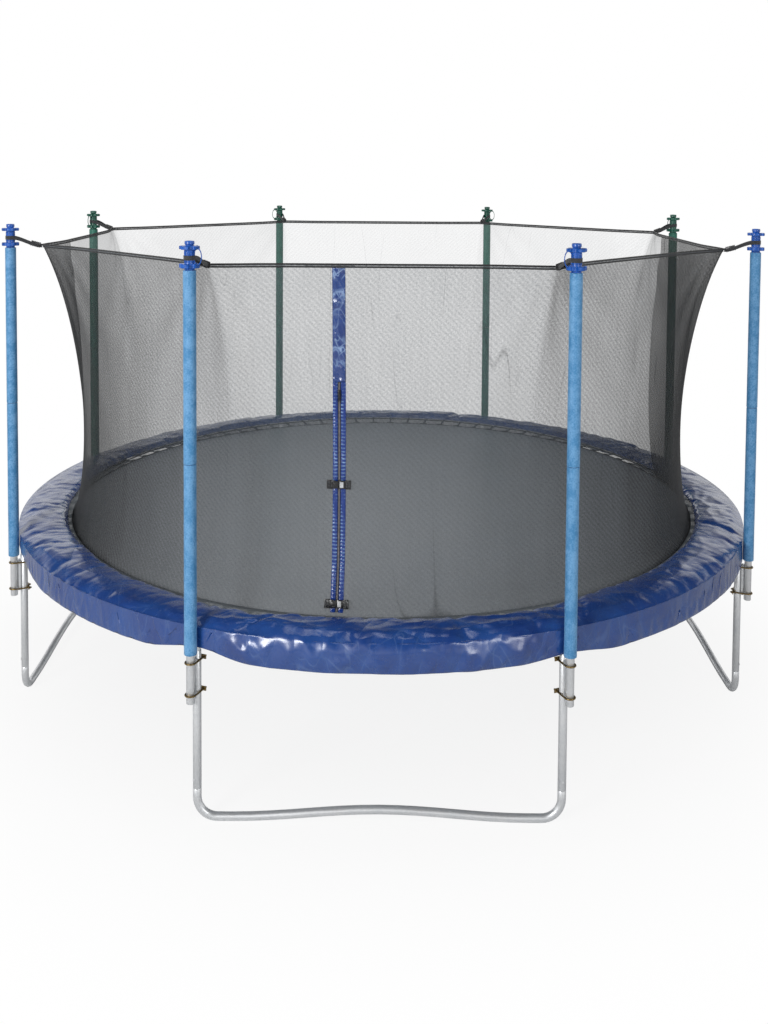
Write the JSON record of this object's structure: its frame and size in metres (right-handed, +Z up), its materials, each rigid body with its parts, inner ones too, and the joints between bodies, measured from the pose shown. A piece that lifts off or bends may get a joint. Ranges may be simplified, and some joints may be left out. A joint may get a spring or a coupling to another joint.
{
  "type": "trampoline with safety net",
  "caption": "Large round garden trampoline with a padded spring cover, paired tube legs and an inner mesh net with a zip door, hung from foam-covered poles",
  "frame": {"origin": "on the ground under the middle of the jumping mat", "axes": "+Z up, the door at -Y a little to the left of the middle as seen from in front, +X to the right"},
  "size_m": [4.2774, 4.2774, 2.586],
  "materials": {
    "galvanised": "bright galvanised steel tube",
    "zinc": "yellow zinc plating",
    "spring_steel": "zinc plated wire, with black webbing round the mat",
    "blue_foam": "foam tube in thin satin film",
    "green_foam": "foam tube in thin satin film",
    "blue_plastic": "moulded, glossy",
    "green_plastic": "moulded, glossy",
    "black_plastic": "moulded, satin",
    "blue_vinyl": "glossy PVC sheet over foam",
    "door_tape": "glossy PVC and woven zip tape",
    "mat_fabric": "tight matt weave",
    "net_fabric": "fine see-through mesh"
  },
  "bodies": {
    "frame": {"top_rail_1": "galvanised", "top_rail_2": "galvanised", "top_rail_3": "galvanised", "top_rail_4": "galvanised", "top_rail_5": "galvanised", "top_rail_6": "galvanised", "top_rail_7": "galvanised", "top_rail_8": "galvanised", "leg_upright_1": "galvanised", "leg_upright_2": "galvanised", "leg_upright_3": "galvanised", "leg_upright_4": "galvanised", "leg_upright_5": "galvanised", "leg_upright_6": "galvanised", "leg_upright_7": "galvanised", "leg_upright_8": "galvanised", "leg_base_1": "galvanised", "leg_base_2": "galvanised", "leg_base_3": "galvanised", "leg_base_4": "galvanised", "pole_1": "galvanised", "pole_2": "galvanised", "pole_3": "galvanised", "pole_4": "galvanised", "pole_5": "galvanised", "pole_6": "galvanised", "pole_7": "galvanised", "pole_8": "galvanised", "pole_clamp_1": "zinc", "pole_clamp_2": "zinc", "pole_clamp_3": "zinc", "pole_clamp_4": "zinc", "pole_clamp_5": "zinc", "pole_clamp_6": "zinc", "pole_clamp_7": "zinc", "pole_clamp_8": "zinc", "pole_sleeve_1": "green_foam", "pole_sleeve_2": "green_foam", "pole_sleeve_3": "green_foam", "pole_sleeve_4": "green_foam", "pole_sleeve_5": "blue_foam", "pole_sleeve_6": "blue_foam", "pole_sleeve_7": "blue_foam", "pole_sleeve_8": "blue_foam", "pole_cap_1": "green_plastic", "pole_cap_2": "green_plastic", "pole_cap_3": "green_plastic", "pole_cap_4": "green_plastic", "pole_cap_5": "blue_plastic", "pole_cap_6": "blue_plastic", "pole_cap_7": "blue_plastic", "pole_cap_8": "blue_plastic", "spring_set": "spring_steel", "spring_pad": "blue_vinyl", "safety_net": "net_fabric", "door_zip": "door_tape"},
    "mat": {"jumping_mat": "mat_fabric"},
    "slider": {"zip_slider": "black_plastic"},
    "upper_clip": {"upper_buckle_clip": "black_plastic"},
    "lower_clip": {"lower_buckle_clip": "black_plastic"}
  },
  "joints": [
    {"name": "mat_bounce", "type": "slide", "parent": "frame", "child": "mat", "axis": [0, 0, 1], "range_m": [-0.25, 0], "stiffness_N_per_m": 5000, "springref_m": 0.03, "deforming": ["spring_set"]},
    {"name": "zip_slide", "type": "slide", "parent": "frame", "child": "slider", "axis": [0.0035, 0.0322, -0.9995], "range_m": [0, 0.345]},
    {"name": "upper_buckle_release", "type": "slide", "parent": "frame", "child": "upper_clip", "axis": [0.9942, -0.108, 0], "range_m": [0, 0.035]},
    {"name": "lower_buckle_release", "type": "slide", "parent": "frame", "child": "lower_clip", "axis": [0.9942, -0.108, 0], "range_m": [0, 0.035]}
  ]
}
